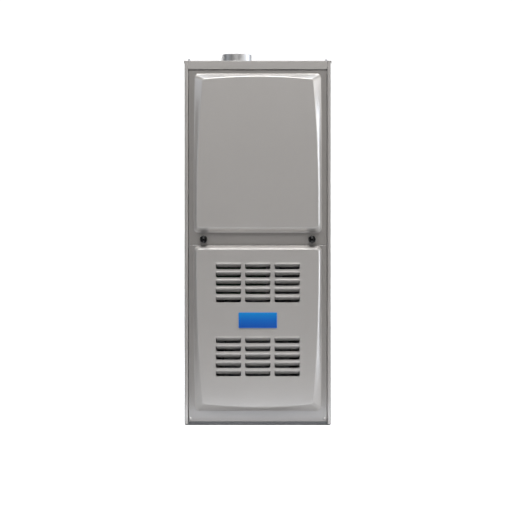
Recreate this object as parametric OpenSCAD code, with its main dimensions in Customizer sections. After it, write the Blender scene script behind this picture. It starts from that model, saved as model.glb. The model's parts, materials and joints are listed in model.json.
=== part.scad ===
// Forced air gas furnace, upflow, with two lift-off doors. Millimetres, front facing -Y, floor at z = 0.

/* [Cabinet] */
// Width across the casing's side walls
cab_w = 355.6; // [340:1:460]
// Depth from the casing's front flanges to its back wall
cab_d = 725; // [700:1:800]
// Height from the floor to the top cap
cab_h = 884; // [880:1:960]
// Thickness of the cabinet sheet
sheet = 1; // [0.8:0.1:1.3]
// Width of the flange down each side of the front
flange_w = 9; // [8:0.5:12]
// Radius of the folds in the casing
fold_r = 2.5; // [1.5:0.1:3]
// Width of the door rest folded inwards behind each front flange
rest_w = 10; // [6:0.5:12]
// Height of the casing's lower edge above the floor
foot_h = 3; // [2:0.5:6]
// Height of the band above the upper door
header_h = 20.9; // [16:0.1:30]
// Depth of the lip down each side of the top cap
cap_lip = 6; // [4:0.5:10]
// Depth of the burner compartment, front to partition
vest_d = 195; // [190:1:220]
// Height of the upright flanges round the supply opening
duct_flange_h = 25.4; // [15:0.1:40]
// Width of the return at each front end of those flanges
duct_return = 5; // [3:0.5:8]
// Height of the blower deck above the floor
deck_z = 446; // [440:1:460]
// Recess of the dark toe behind the casing front
toe_recess = 6; // [4:0.5:12]
// Side margin of the return air opening in the base
return_margin = 28; // [20:1:60]

/* [Doors] */
// Height of the seam between the two doors
seam_z = 437; // [430:0.5:440]
// Gap between a door and what surrounds it
door_gap = 0.9; // [0.5:0.1:2]
// Set-back of the door flanges behind the casing front
door_recess = 3; // [1:0.5:5]
// Depth of the folded edge round each door
door_return = 18; // [14:0.5:24]
// Height of the raised panel over the door flange
emboss_h = 13; // [8:0.5:16]
// Width of the door flange beside the raised panel
emboss_margin = 11.7; // [8:0.1:16]
// Corner radius of the raised panel's foot
emboss_r = 10.5; // [6:0.5:16]
// Corner radius of the raised panel's flat face
face_r = 8; // [4:0.5:12]
// Width of the sloping side near the seam
slope_side = 10.5; // [8:0.5:14]
// How much wider the sloping side gets at the far end
slope_flare = 14; // [6:0.5:20]
// Rise of the arched far edge
emboss_arch = 6; // [2:0.5:10]
// Upper door: flange above the seam
upper_strip = 29.1; // [26:0.1:36]
// Upper door: flange below the header band
upper_top_strip = 8.4; // [6:0.1:14]
// Upper door: width of the slope below the header band, at its middle
upper_end = 9.8; // [8:0.1:14]
// Upper door: width of the slope above the seam
upper_slope = 15.5; // [10:0.1:20]
// Lower door: flange below the seam
lower_strip = 2; // [1.5:0.1:6]
// Lower door: flange above the toe
lower_bottom_strip = 26; // [20:0.5:34]
// Lower door: width of the slope above the toe, at its middle
lower_end = 12.4; // [8:0.1:14]
// Lower door: width of the slope below the seam
lower_slope = 8.6; // [6:0.1:14]
// Height of the lower door's bottom edge above the floor
door_foot = 8.8; // [8.8:0.1:12]

/* [Louvres] */
// Width of one louvre
louvre_w = 61; // [40:0.5:64]
// Height of one louvre's cut
louvre_h = 12.2; // [8:0.1:14]
// Distance between columns
louvre_pitch_x = 71; // [68:0.5:76]
// Distance between rows
louvre_pitch_z = 20; // [18:0.5:22]
// Columns of louvres
louvre_cols = 3; // [1:1:3]
// Rows in each group of louvres
louvre_rows = 5; // [3:1:5]
// Angle that each louvre's blade is pressed inwards
louvre_angle = 50; // [30:1:60]
// Height of the upper group's middle row
louvre_upper_z = 344.7; // [330:0.5:350]
// Height of the lower group's middle row
louvre_lower_z = 165.9; // [150:0.5:175]
// Width of the plate between the louvres
plate_w = 93.5; // [60:0.5:110]
// Height of that plate
plate_h = 38.4; // [20:0.1:44]
// Thickness of that plate
plate_t = 2; // [1.5:0.1:4]
// Height of that plate's centre above the floor
plate_z = 255.3; // [250:0.1:262]

/* [Knobs] */
// Diameter of a door knob
knob_d = 18; // [14:0.5:22]
// Height of a door knob's head
knob_h = 11; // [8:0.5:14]
// Distance from the cabinet's middle to a knob
knob_x = 131.5; // [110:0.5:138]
// Diameter of a knob's stem
knob_stem_d = 8; // [6:0.5:10]
// Length of the latch wing on a knob's stem
wing_l = 26; // [20:1:27]

/* [Vent] */
// Outside diameter of the vent collar
vent_d = 76.2; // [70:0.1:84]
// Height of the vent collar over the top cap
vent_h = 28; // [22:1:50]
// Distance of the vent from the cabinet's middle, to the left
vent_x = 54; // [50:0.5:60]
// Distance of the vent behind the casing front
vent_y = 135; // [130:1:140]
// Wall of the vent pipe and collar
vent_wall = 0.8; // [0.6:0.1:1.2]

/* [Heat exchanger] */
// Tubes and burners
tubes = 3; // [2:1:3]
// Distance between tubes
tube_pitch = 76; // [70:1:80]
// Outside diameter of a tube
tube_d = 44.5; // [38:0.5:48]
// Wall of a tube
tube_wall = 1.2; // [0.9:0.1:2]
// Height of the burner runs above the floor
burner_z = 545; // [540:1:556]
// Height between one run of a tube and the next
pass_pitch = 64; // [58:1:66]
// Gap between the tubes' rear bends and the insulation behind them
tube_gap = 60; // [30:1:90]
// Thickness of the insulation round the heat exchanger
liner_t = 12; // [6:1:16]

/* [Blower] */
// Diameter of the blower wheel
wheel_d = 254; // [230:1:256]
// Width of the blower wheel
wheel_w = 152; // [120:1:156]
// Vanes round the blower wheel
vanes = 42; // [24:1:48]
// Distance of the blower's axis behind the casing front
blower_y = 390; // [380:1:400]
// Height of the blower's axis above the floor
blower_z = 225; // [222:1:230]
// Width of the blower housing
housing_w = 170; // [166:1:180]
// Gap from wheel to housing at the cut-off
cutoff_gap = 12; // [8:1:16]
// Growth of the housing's radius from cut-off to outlet
scroll_growth = 54; // [40:1:56]
// Diameter of the blower's motor
motor_d = 140; // [120:1:150]
// Length of the blower's motor
motor_l = 100; // [80:1:110]
// Diameter of the blower's shaft
shaft_d = 12.7; // [9.5:0.1:16]

/* [Inducer] */
// Distance of the inducer's axis from the middle, to the right
inducer_x = 6; // [0:0.5:12]
// Diameter of the inducer wheel
inducer_wheel_d = 104; // [90:1:108]
// Depth of the inducer housing
inducer_w = 50; // [44:1:54]
// Depth of the collector box
collector_d = 35; // [30:1:40]
// Diameter of the inducer's shaft
inducer_shaft_d = 8; // [6:0.1:10]

/* [Gas train] */
// Outside diameter of the manifold pipe
manifold_d = 21.3; // [18:0.1:24]
// Distance of the manifold behind the casing front
manifold_y = 70; // [66:1:76]
// Height of the gas valve's middle above the floor
valve_z = 487; // [484:1:490]
// Diameter of the gas pipe's hole in the casing
gas_hole_d = 44; // [38:1:50]
// Diameter of the valve's inlet port
gas_port_d = 20.6; // [18:0.1:22]

/* [Controls] */
// Width of the control tray
tray_w = 280; // [240:5:290]
// Height of the control tray
tray_h = 146; // [120:1:150]
// Reach of the tray to the left of the cabinet's middle
tray_left = 150; // [140:5:160]
// Distance of the tray behind the casing front
tray_d = 110; // [90:5:130]
// Width of the circuit board
board_w = 160; // [120:5:165]
// Height of the circuit board
board_h = 114; // [90:1:118]
// Gap between the board and its tray
board_gap = 8; // [4:1:12]
// Width of the transformer's core
core_w = 52; // [40:1:60]
// Height of the transformer's core
core_h = 54; // [40:1:60]
// Depth of the transformer
core_d = 46; // [36:1:52]
// Width of the junction box
junction_w = 45; // [38:1:55]
// Height and depth of the junction box
junction_h = 90; // [70:1:100]
// Distance of the junction box behind the casing front
junction_y = 35; // [25:1:60]
// Diameter of the run capacitor
capacitor_d = 44; // [36:1:50]
// Length of the run capacitor
capacitor_l = 75; // [60:1:90]

/* [Hidden] */
$fn = 64;

paint = [0.63, 0.61, 0.60];
inner_steel = [0.72, 0.73, 0.74];
galvanised = [0.78, 0.79, 0.80];
dark_steel = [0.30, 0.30, 0.31];
black = [0.05, 0.05, 0.05];
plate_blue = [0.06, 0.35, 0.72];
brass = [0.78, 0.62, 0.30];
board_green = [0.10, 0.35, 0.18];
porcelain = [0.93, 0.92, 0.88];
foil = [0.80, 0.81, 0.83];

// A hair's breadth between two pieces that seat on each other
seat = 0.3;
// Gap between a door's folded edge and the rest behind it
rest_gap = 0.5;
// Radial clearance of a shaft or plunger in its bore
run_fit = 0.06;
// Radii of a screw's shank and of the hole it passes
screw_r = 1.6;
screw_hole_r = screw_r + seat;
// How far a cutting shape runs past what it cuts
past = 2;

cab_hw = cab_w / 2;
inner_hw = cab_hw - sheet;
opening_hw = cab_hw - flange_w;
door_hw = opening_hw - door_gap;
emboss_hw = door_hw - emboss_margin;
proud = emboss_h - door_recess + plate_t;
front_y = -(cab_d - proud) / 2;
back_y = front_y + cab_d;
function from_front(d) = front_y + d;

door_y = from_front(door_recess);
door_back = door_y + door_return;
rest_y = door_back + rest_gap;
rail_y = rest_y + sheet;
part_y = from_front(vest_d);
wall_y = back_y - fold_r;
cap_z = cab_h - sheet;
header_z = cab_h - header_h;
deck_top = deck_z + sheet;
toe_top = door_foot - seat;
knob_z = seam_z + (door_gap + upper_strip) / 2 - 0.9;
rail_z = [seam_z - 12, knob_z + 18];
rail_depth = 8;
deck_front = rail_y + 15;

passes = 4;
tube_xs = [for (i = [0:tubes - 1]) (i - (tubes - 1) / 2) * tube_pitch];
outlet_z = burner_z + (passes - 1) * pass_pitch;
front_bend = part_y + 60;
support_inset = 60;
rear_bend = wall_y - sheet - seat - liner_t - tube_gap - (pass_pitch + tube_d) / 2;
neck_top = outlet_z + 75;
limit_x = tube_xs[tubes - 1] - tube_pitch / 2;
limit_z = burner_z + 1.5 * pass_pitch;
limit_r = 11;

collector_hw = tube_xs[tubes - 1] + tube_d / 2 + 12;
collector_z = [outlet_z - tube_d / 2 - 9, outlet_z + tube_d / 2 + 9];
collector_flange = 12;
collector_screws = [
    for (side = [-1, 1], z = collector_z + collector_flange / 2 * [-1, 1])
        [side * (collector_hw + collector_flange / 2), z]
];
panel_screws_x = inner_hw - 20;
screw_places = concat(
    collector_screws,
    [for (side = [-1, 1], z = [deck_top + 70, deck_top + 190, deck_top + 310, cap_z - 20]) [side * panel_screws_x, z]]
);

cutoff_angle = 120;
blower_axis = [from_front(blower_y), blower_z];
cutoff_r = wheel_d / 2 + cutoff_gap;
outlet_r = cutoff_r + scroll_growth;
flange_z = deck_z - 10;

// ---- sheet-metal geometry ----

function unit(v) = v / norm(v);
function mix(a, b, t) = a + (b - a) * t;

// The points of an arc of radius r that rounds the corner b of the path a, b, c.
function corner_arc(a, b, c, r, steps) =
    let (
        u = unit(a - b),
        v = unit(c - b),
        half = acos(u * v) / 2,
        centre = b + unit(u + v) * r / sin(half),
        start = b + u * r / tan(half) - centre,
        end = b + v * r / tan(half) - centre,
        from = atan2(start[1], start[0]),
        sweep = (atan2(end[1], end[0]) - from + 540) % 360 - 180
    )
    [for (k = [0:steps]) centre + r * [cos(from + sweep * k / steps), sin(from + sweep * k / steps)]];

function cross_z(a, b) = a[0] * b[1] - a[1] * b[0];

// Rounds a sheet's path: r outside a fold where the path bends round the sheet, one sheet less inside it.
function rounded(path, r, steps = 4) =
    let (last = len(path) - 1)
    concat(
        [path[0]],
        [
            for (i = [1:last - 1])
                let (turn = cross_z(path[i] - path[i - 1], path[i + 1] - path[i]))
                    each corner_arc(path[i - 1], path[i], path[i + 1], turn < 0 ? r : r - sheet, steps)
        ],
        [path[last]]
    );

// The right-hand normal of a path at point i, long enough to keep a strip's thickness round a corner.
function miter(path, i) =
    let (
        last = len(path) - 1,
        a = i == 0 ? unit(path[1] - path[0]) : unit(path[i] - path[i - 1]),
        b = i == last ? a : unit(path[i + 1] - path[i]),
        m = unit(a + b)
    )
    [m[1], -m[0]] / (m * a);

function shifted(path, d) = [for (i = [0:len(path) - 1]) path[i] + d * miter(path, i)];

// The range that starts a after p and ends b after it.
function span(p, a, b) = [p + a, p + b];

function reversed(list) = [for (i = [len(list) - 1:-1:0]) list[i]];

// A folded sheet's section: the path is its left face, and the sheet lies to the right of it.
function strip(path, t = sheet) = concat(path, reversed(shifted(path, t)));

module along_x(x) {
    translate([x[0], 0, 0]) rotate([90, 0, 90]) linear_extrude(x[1] - x[0]) children();
}

module along_y(y) {
    translate([0, y[1], 0]) rotate([90, 0, 0]) linear_extrude(y[1] - y[0]) children();
}

module along_z(z) {
    translate([0, 0, z[0]]) linear_extrude(z[1] - z[0]) children();
}

module block(x, y, z) {
    translate([x[0], y[0], z[0]]) cube([x[1] - x[0], y[1] - y[0], z[1] - z[0]]);
}

module rod_x(x, y, z, r) {
    translate([x[0], y, z]) rotate([0, 90, 0]) cylinder(h = x[1] - x[0], r = r);
}

module rod_y(y, x, z, r) {
    translate([x, y[1], z]) rotate([90, 0, 0]) cylinder(h = y[1] - y[0], r = r);
}

module rod_z(z, x, y, r) {
    translate([x, y, z[0]]) cylinder(h = z[1] - z[0], r = r);
}

// A solid of revolution about an axis that points to the viewer, from y.
module turned_y(x, y, z) {
    translate([x, y, z]) rotate([90, 0, 0]) rotate_extrude() children();
}

// A wall round a rectangle, of thickness t inside the given outline.
module ring_wall(x, y, z, t) {
    difference() {
        block(x, y, z);
        block([x[0] + t, x[1] - t], [y[0] + t, y[1] - t], [z[0] - past, z[1] + past]);
    }
}

// ---- cabinet ----

gas_hole_y = from_front(manifold_y);
conduit_hole_d = 22.2;
rear_flange_w = 14;
conduit_y = from_front(junction_y + junction_h / 2);
conduit_z = cab_h - 64;

// A side wall in plan, with its door rest and front flange, and a narrow flange behind.
module side_wall() {
    path = [
        [inner_hw - rear_flange_w, back_y], [cab_hw, back_y], [cab_hw, front_y], [opening_hw, front_y],
        [opening_hw, rest_y], [opening_hw - rest_w, rest_y]
    ];
    along_z([foot_h, cap_z]) polygon(strip(rounded(path, fold_r)));
}

module left_side() {
    color(paint)
        difference() {
            mirror([1, 0, 0]) side_wall();
            rod_x([-cab_hw - past, -inner_hw + past], gas_hole_y, valve_z, gas_hole_d / 2);
            rod_x([-cab_hw - past, -inner_hw + past], conduit_y, conduit_z, conduit_hole_d / 2);
        }
}

module right_side() {
    color(paint)
        difference() {
            side_wall();
            rod_x([inner_hw - past, cab_hw + past], gas_hole_y, valve_z, gas_hole_d / 2);
        }
}

module back_panel() {
    color(paint)
        block([fold_r - inner_hw, inner_hw - fold_r], [wall_y, back_y - sheet], [foot_h, cap_z]);
}

module top_panel() {
    color(paint)
        difference() {
            block([-cab_hw - sheet, cab_hw + sheet], [front_y, part_y + sheet], [cab_h - cap_lip, cab_h]);
            block([-cab_hw, cab_hw], [front_y - past, part_y + sheet + past], [cab_h - cap_lip - past, cap_z]);
            rod_z([cap_z - past, cab_h + past], -vent_x, from_front(vent_y), vent_d / 2 + seat);
        }
}

module header_rail() {
    back = rest_y - fold_r;
    path = [[front_y, cap_z], [front_y, header_z], [back, header_z], [back, header_z + 12]];
    color(paint)
        along_x([-opening_hw, opening_hw]) polygon(strip(reversed(rounded(path, fold_r))));
}

module duct_flanges() {
    front = part_y + sheet;
    path = [
        [duct_return - inner_hw, front], [-inner_hw, front], [-inner_hw, wall_y], [inner_hw, wall_y],
        [inner_hw, front], [inner_hw - duct_return, front]
    ];
    color(galvanised)
        along_z([cap_z - 20, cab_h + duct_flange_h]) polygon(strip(rounded(path, fold_r)));
}

return_hw = inner_hw - return_margin;
curb_h = 37;

module base_pan() {
    floor_hw = inner_hw - 4;
    y = [from_front(toe_recess), back_y - 5];
    opening_y = [from_front(return_margin + 20), back_y - return_margin];
    color(dark_steel)
        difference() {
            union() {
                block([-floor_hw, floor_hw], y, [0, sheet]);
                ring_wall([-floor_hw, floor_hw], y, [0, foot_h], sheet);
                block([-inner_hw, inner_hw], [from_front(fold_r), wall_y], [foot_h - sheet, foot_h]);
                block([-door_hw, door_hw], [y[0] + 2, y[0] + 2 + sheet], [foot_h - sheet, toe_top]);
                block([rest_w - opening_hw, opening_hw - rest_w], [y[0] + 2, rail_y + sheet], [toe_top - sheet, toe_top]);
                ring_wall([-inner_hw, inner_hw], [rail_y, wall_y], [foot_h - sheet, foot_h + curb_h], sheet);
            }
            block([-return_hw, return_hw], opening_y, [-past, foot_h + past]);
        }
}

module rail_slot(side) {
    block(
        [side * knob_x - knob_stem_d / 2 - 0.8, side * knob_x + knob_stem_d / 2 + 0.8],
        [rail_y - past, rail_y + sheet + past],
        [knob_z - wing_l / 2 - 1.5, knob_z + wing_l / 2 + 1.5]
    );
}

module centre_rail() {
    path = [
        [rail_y + rail_depth, rail_z[0]], [rail_y, rail_z[0]], [rail_y, rail_z[1]],
        [rail_y + rail_depth, rail_z[1]]
    ];
    color(inner_steel)
        difference() {
            along_x([-inner_hw, inner_hw]) polygon(strip(rounded(path, fold_r)));
            for (side = [-1, 1]) rail_slot(side);
        }
}

module blower_deck() {
    path = [
        [wall_y, deck_top], [deck_front, deck_top], [deck_front, rail_z[0]]
    ];
    color(inner_steel)
        difference() {
            along_x([-inner_hw, inner_hw]) polygon(strip(reversed(rounded(path, fold_r))));
            block(
                [-housing_w / 2, housing_w / 2],
                [blower_axis[0] + cutoff_r * cos(cutoff_angle), blower_axis[0] + outlet_r],
                [deck_z - past, deck_top + past]
            );
        }
}

module vestibule_panel() {
    color(inner_steel)
        difference() {
            union() {
                block([-inner_hw, inner_hw], [part_y, part_y + sheet], [deck_top, cap_z]);
                block([-inner_hw, inner_hw], [part_y - 10, part_y], [deck_top, deck_top + sheet]);
            }
            for (x = tube_xs, z = [burner_z, outlet_z])
                rod_y([part_y - past, part_y + sheet + past], x, z, tube_d / 2 + run_fit);
            rod_y([part_y - past, part_y + sheet + past], limit_x, limit_z, limit_r + seat);
            for (p = screw_places) rod_y([part_y - past, part_y + sheet + past], p[0], p[1], screw_hole_r);
        }
}

module casing_liner() {
    hw = inner_hw - sheet - seat;
    y = [part_y + sheet + seat, wall_y - sheet - seat];
    path = [[-hw, y[0]], [-hw, y[1]], [hw, y[1]], [hw, y[0]]];
    color(foil)
        along_z([deck_top + seat, cap_z - 24]) polygon(strip(path, liner_t));
}

// ---- doors ----

// Half width of the raised panel: u runs from its foot (0) to its face (1), t from the seam to the far end.
function panel_hw(u, t, inset) = emboss_hw - inset - u * (slope_side + slope_flare * t * t);

corner_steps = 5;
side_steps = 7;

// The raised panel's outline at u. v holds its ends, measured from the seam, and the far slope's width.
function panel_outline(u, v, near, inset) =
    let (
        r = mix(emboss_r, face_r, u) - inset / 2,
        a = v[0] + inset + u * near,
        b = v[1] - inset - u * (v[2] + emboss_arch),
        w0 = panel_hw(u, 0, inset),
        w1 = panel_hw(u, 1, inset),
        side = [
            for (i = [1:side_steps])
                let (t = i / (side_steps + 1)) [panel_hw(u, t, inset), mix(a + r, b - r, t)]
        ]
    )
    concat(
        [for (k = [0:corner_steps]) let (g = 90 * k / corner_steps - 90) [w0 - r, a + r] + r * [cos(g), sin(g)]],
        side,
        [for (k = [0:corner_steps]) let (g = 90 * k / corner_steps) [w1 - r, b - r] + r * [cos(g), sin(g)]],
        [
            for (i = [1:side_steps])
                let (s = 1 - 2 * i / (side_steps + 1)) [s * (w1 - r), b + u * emboss_arch * (1 - s * s)]
        ],
        [for (k = [0:corner_steps]) let (g = 90 + 90 * k / corner_steps) [r - w1, b - r] + r * [cos(g), sin(g)]],
        [for (p = reversed(side)) [-p[0], p[1]]],
        [for (k = [0:corner_steps]) let (g = 180 + 90 * k / corner_steps) [r - w0, a + r] + r * [cos(g), sin(g)]]
    );

// The slope's section: how far across it, and how far up. Both ends are eased by the press radius.
slope_section = [[0, 0], [0.13, 0.05], [0.28, 0.21], [0.72, 0.79], [0.87, 0.95], [1, 1]];

// A closed loft through rings of equally many points, from the back to the front.
module loft(rings) {
    n = len(rings[0]);
    last = len(rings) - 1;
    polyhedron(
        points = [for (ring = rings) each ring],
        faces = concat(
            [[for (j = [0:n - 1]) j]],
            [
                for (i = [0:last - 1], j = [0:n - 1])
                    each let (k = (j + 1) % n)
                        [[i * n + j, (i + 1) * n + j, (i + 1) * n + k], [i * n + j, (i + 1) * n + k, i * n + k]]
            ],
            [[for (j = [n - 1:-1:0]) last * n + j]]
        )
    );
}

module raised_panel(v, near, inset, back) {
    foot = [for (p = panel_outline(0, v, near, inset)) [p[0], door_y + back + 5, p[1]]];
    slope = [
        for (s = slope_section)
            [for (p = panel_outline(s[0], v, near, inset)) [p[0], door_y + back - emboss_h * s[1], p[1]]]
    ];
    loft(concat([foot], slope));
}

// A door seen from its seam: v is its far edge, panel the raised panel's reach.
module door_shell(v, panel, near) {
    edge = door_gap / 2;
    difference() {
        union() {
            block([-door_hw, door_hw], [door_y, door_back], [edge, v]);
            raised_panel(panel, near, 0, 0);
        }
        block([sheet - door_hw, door_hw - sheet], [door_y + sheet, door_back + past], [edge + sheet, v - sheet]);
        raised_panel(panel, near, sheet * 0.7, sheet);
    }
}

upper_v = header_z - door_gap / 2 - seam_z;
upper_reach = upper_v - upper_top_strip;
lower_v = seam_z - door_foot;
lower_reach = lower_v - lower_bottom_strip;

module upper_door() {
    color(paint)
        difference() {
            translate([0, 0, seam_z]) door_shell(upper_v, [upper_strip, upper_reach, upper_end], upper_slope);
            for (side = [-1, 1])
                rod_y([door_y - past, door_y + sheet + past], side * knob_x, knob_z, knob_stem_d / 2 + run_fit);
        }
}

module door_liner() {
    face_hw = panel_hw(1, 1, 0) - 12;
    back = door_y - emboss_h + sheet + seat;
    color(foil)
        block(
            [-face_hw, face_hw],
            [back, back + liner_t],
            [seam_z + upper_strip + upper_slope + 12, seam_z + upper_reach - upper_end - emboss_arch - 12]
        );
}

// One louvre's outline hangs from its fold line, with rounded lower corners.
function louvre_outline(grow) =
    let (hw = louvre_w / 2 + grow, h = louvre_h + grow, r = 4)
    concat(
        [[-hw, grow], [-hw, r - h]],
        corner_arc([-hw, 0], [-hw, -h], [0, -h], r, 4),
        corner_arc([0, -h], [hw, -h], [hw, 0], r, 4),
        [[hw, r - h], [hw, grow]]
    );

function louvre_outline_open(grow) =
    let (all = louvre_outline(grow)) [for (i = [0:len(all) - 1]) if (i != 1 && i != len(all) - 2) all[i]];

louvre_face_y = door_y - emboss_h;
louvre_places = [
    for (group_z = [louvre_upper_z, louvre_lower_z], col = [0:louvre_cols - 1], row = [0:louvre_rows - 1])
        [
            (col - (louvre_cols - 1) / 2) * louvre_pitch_x,
            group_z + (row - (louvre_rows - 1) / 2) * louvre_pitch_z + louvre_h / 2
        ]
];

module louvre_cut(place) {
    translate([place[0], 0, place[1]])
        along_y([louvre_face_y - past, louvre_face_y + sheet + past]) polygon(louvre_outline_open(0));
}

module louvre_blade(place) {
    translate([place[0], louvre_face_y, place[1]])
        rotate([louvre_angle, 0, 0])
            along_y([0, sheet]) polygon(louvre_outline_open(-0.4));
}

corner_relief = [7, 17];
door_screw_x = door_hw - 4.9;
door_screw_z = door_foot + 6.5;
striker_x = [98, 122];
switch_z = rail_z[0] - 13;

module lower_door() {
    color(paint)
        union() {
            difference() {
                translate([0, 0, seam_z])
                    mirror([0, 0, 1])
                        door_shell(lower_v, [lower_strip, lower_reach, lower_end], lower_slope);
                for (place = louvre_places) louvre_cut(place);
                for (side = [-1, 1])
                    along_y([door_y - past, door_back + past])
                        polygon([
                            [side * (door_hw + past), seam_z + past],
                            [side * (door_hw - corner_relief[0]), seam_z + past],
                            [side * (door_hw - corner_relief[0]), seam_z - corner_relief[1] / 2],
                            [side * (door_hw + past), seam_z - corner_relief[1] - 3]
                        ]);
                for (side = [-1, 1])
                    rod_y([door_y - past, door_y + sheet + past], side * door_screw_x, door_screw_z, screw_hole_r);
            }
            for (place = louvre_places) louvre_blade(place);
            block(striker_x, [door_back - sheet, door_back], [switch_z - 9, seam_z - door_gap / 2]);
        }
}

module badge_plate() {
    y = louvre_face_y;
    r = 2.5;
    path = [
        for (c = [[1, 1, 0], [-1, 1, 90], [-1, -1, 180], [1, -1, 270]], k = [0:3])
            [c[0] * (plate_w / 2 - r), c[1] * (plate_h / 2 - r)] + r * [cos(c[2] + 30 * k), sin(c[2] + 30 * k)]
    ];
    color(plate_blue)
        translate([0, 0, plate_z])
            along_y([y - plate_t, y]) polygon(path);
}

screw_head = [[0, 0], [3.8, 0], [3.6, 1], [2.8, 1.8], [1.5, 2.2], [0, 2.3]];

module door_screws() {
    color(galvanised)
        for (side = [-1, 1]) {
            turned_y(side * door_screw_x, door_y, door_screw_z) polygon(screw_head);
            rod_y([door_y, door_y + sheet + 4], side * door_screw_x, door_screw_z, screw_r);
        }
}

knob_section = [
    [0, 0], [0.43, 0], [0.5, 0.08], [0.5, 0.78], [0.47, 0.93], [0.41, 1], [0.35, 0.96], [0.31, 0.8], [0.27, 0.74],
    [0.24, 0.8], [0.22, 0.9], [0.12, 0.98], [0, 1]
];

module knob(side) {
    x = side * knob_x;
    head_y = door_y - seat;
    wing_y = rail_y + sheet + 0.5;
    color(black)
        difference() {
            union() {
                turned_y(x, head_y, knob_z) polygon([for (p = knob_section) [p[0] * knob_d, p[1] * knob_h]]);
                rod_y([head_y - 1, wing_y + 3], x, knob_z, knob_stem_d / 2);
                block(
                    [x - knob_stem_d / 2, x + knob_stem_d / 2], [wing_y, wing_y + 3],
                    [knob_z - wing_l / 2, knob_z + wing_l / 2]
                );
            }
            block([x - 0.8, x + 0.8], [head_y - knob_h - 1, head_y - knob_h + 2.5], [knob_z - 3, knob_z + 3]);
            block([x - 3, x + 3], [head_y - knob_h - 1, head_y - knob_h + 2.5], [knob_z - 0.8, knob_z + 0.8]);
        }
}

module left_knob() {
    knob(-1);
}

module right_knob() {
    knob(1);
}

// ---- vent ----

module vent_collar() {
    r = vent_d / 2;
    bead = 2;
    path = [
        [r + 9, 0], [r, 0], [r, 5], [r + bead, 7], [r + bead, 8.4], [r, 10.4], [r, vent_h]
    ];
    color(galvanised)
        translate([-vent_x, from_front(vent_y), cab_h])
            rotate_extrude() polygon(concat([[r + 9, vent_wall]], path_inside(path)));
}

// The collar's section: a flat foot, a tube and a rolled bead, of even wall.
function path_inside(path) =
    let (r = vent_d / 2, w = vent_wall)
    [
        [r, w], [r, path[2][1]], path[3], path[4], path[5], [r, vent_h], [r - w, vent_h], [r - w, path[5][1]],
        path[4] - [w, 0], path[3] - [w, 0], [r - w, path[2][1]], [r - w, 0], [r + 9, 0]
    ];

vent_pipe_r = vent_d / 2 - vent_wall - 0.4;

module vent_pipe() {
    x = -vent_x;
    y = from_front(vent_y);
    color(galvanised)
        difference() {
            union() {
                rod_z([neck_top, cab_h + 16], x, y, vent_pipe_r);
                block([x - 42, x + 42], [y - 42, y + 42], [neck_top, neck_top + 1.5]);
            }
            rod_z([neck_top - past, cab_h + vent_h + past], x, y, vent_pipe_r - vent_wall);
        }
}

// ---- heat exchanger ----

module tube_run_y(x, z, y) {
    difference() {
        rod_y(y, x, z, tube_d / 2);
        rod_y([y[0] - past, y[1] + past], x, z, tube_d / 2 - tube_wall);
    }
}

module tube_bend(x, z, y, way) {
    translate([x, y, z])
        rotate([0, 90, 0])
            rotate([0, 0, way > 0 ? 0 : 180])
                rotate_extrude(angle = 180)
                    translate([pass_pitch / 2, 0]) difference() {
                        circle(r = tube_d / 2);
                        circle(r = tube_d / 2 - tube_wall);
                    }
}

module heat_tubes() {
    color(inner_steel)
        for (x = tube_xs) {
            tube_run_y(x, burner_z, [part_y - 1, rear_bend]);
            tube_run_y(x, burner_z + pass_pitch, [front_bend, rear_bend]);
            tube_run_y(x, burner_z + 2 * pass_pitch, [front_bend, rear_bend]);
            tube_run_y(x, outlet_z, [part_y - 1, rear_bend]);
        }
}

module return_bends() {
    color(inner_steel)
        for (x = tube_xs) {
            tube_bend(x, burner_z + pass_pitch / 2, rear_bend, 1);
            tube_bend(x, burner_z + 3 * pass_pitch / 2, front_bend, -1);
            tube_bend(x, burner_z + 5 * pass_pitch / 2, rear_bend, 1);
        }
}

module tube_support() {
    y = rear_bend - support_inset;
    hw = tube_xs[tubes - 1] + tube_d / 2 + 10;
    z = [burner_z - tube_d / 2 - 12, outlet_z + tube_d / 2 + 12];
    color(inner_steel)
        difference() {
            block([-hw, hw], [y, y + 1.5], z);
            for (x = tube_xs, i = [0:passes - 1])
                rod_y([y - past, y + 1.5 + past], x, burner_z + i * pass_pitch, tube_d / 2 + seat);
        }
}

collector_y = part_y - collector_d;
inducer_z = outlet_z + 5;
inlet_r = 25;

module collector_box() {
    x = [-collector_hw, collector_hw];
    y = [collector_y, part_y];
    f = [-collector_flange, collector_flange];
    color(galvanised)
        difference() {
            union() {
                block(x, y, collector_z);
                block(x + f, [y[1] - sheet, y[1]], collector_z + f);
            }
            block(x + [sheet, -sheet], [y[0] + sheet, y[1] + past], collector_z + [sheet, -sheet]);
            rod_y([y[0] - past, y[0] + past], inducer_x, inducer_z, inlet_r);
            for (p = collector_screws) rod_y([y[1] - past, y[1] + past], p[0], p[1], screw_hole_r);
        }
}

// ---- burners and gas train ----

box_hw = tube_xs[tubes - 1] + 36;
box_z = [burner_z - 33, burner_z + 33];
burner_y = [from_front(100), from_front(172)];

module burner_box() {
    front = from_front(manifold_y - 14);
    color(galvanised)
        difference() {
            union() {
                for (side = [-1, 1])
                    block(
                        side > 0 ? [box_hw - sheet, box_hw] : [-box_hw, sheet - box_hw], [front, part_y],
                        [box_z[0], box_z[1]]
                    );
                block([-box_hw, box_hw], [burner_y[0] + 4, part_y], [box_z[0], box_z[0] + sheet]);
                block([-box_hw, box_hw], [burner_y[0] + 4, part_y], [box_z[1] - sheet, box_z[1]]);
            }
            rod_x([-box_hw - past, box_hw + past], from_front(manifold_y), burner_z, manifold_d / 2 + seat);
            for (x = tube_xs) block([x - 6, x + 6], [part_y - 18, part_y - 6], [box_z[0] - past, box_z[0] + past]);
        }
}

burner_section = [[16, 0], [15, 4], [11, 18], [11, 34], [18, 58], [19, 72]];

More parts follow.
